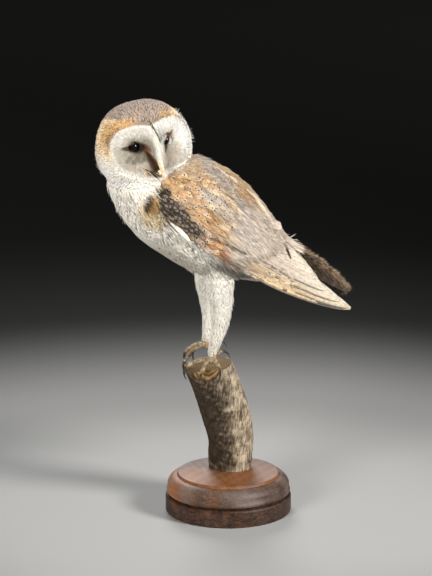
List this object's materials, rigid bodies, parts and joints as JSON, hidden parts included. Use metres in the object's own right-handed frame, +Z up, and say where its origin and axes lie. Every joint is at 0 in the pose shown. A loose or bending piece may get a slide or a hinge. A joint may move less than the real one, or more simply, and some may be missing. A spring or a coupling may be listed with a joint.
{
  "type": "taxidermy barn owl",
  "caption": "Mounted barn owl, life size, gripping a bent sawn branch on a turned round wooden plinth, head turned to its left.",
  "frame": {"origin": "centre of the plinth's flat foot, where it stands on a surface", "axes": "+Z up, +X towards the bird's left side, -Y the way its trunk faces; the face is turned to +X"},
  "size_m": [0.153, 0.3189, 0.5106],
  "materials": {
    "stained_wood": "turned, stained and worn",
    "bark": "rough dry bark",
    "white_feathers": "soft matte feathers",
    "crown_feathers": "soft matte feathers, finely speckled",
    "wing_feathers": "matte feathers, golden and grey with dark spots",
    "tail_feathers": "matte feathers",
    "bill_horn": "smooth ivory horn",
    "eye_glass": "polished dark glass",
    "toe_skin": "dry scaly skin",
    "claw_horn": "dark horn"
  },
  "bodies": {
    "root": {"plinth": "stained_wood", "branch": "bark", "trunk": "white_feathers", "neck": "white_feathers", "head": "crown_feathers", "bill_upper": "bill_horn", "bill_lower": "bill_horn", "eye_left": "eye_glass", "eye_right": "eye_glass", "wing_left": "wing_feathers", "wing_right": "wing_feathers", "tail": "tail_feathers", "thigh_left": "white_feathers", "thigh_right": "white_feathers", "shank_left": "white_feathers", "shank_right": "white_feathers", "foot_left": "toe_skin", "foot_right": "toe_skin", "claw_left_inner": "claw_horn", "claw_left_middle": "claw_horn", "claw_left_outer": "claw_horn", "claw_left_hind": "claw_horn", "claw_right_inner": "claw_horn", "claw_right_middle": "claw_horn", "claw_right_outer": "claw_horn", "claw_right_hind": "claw_horn"}
  },
  "joints": []
}
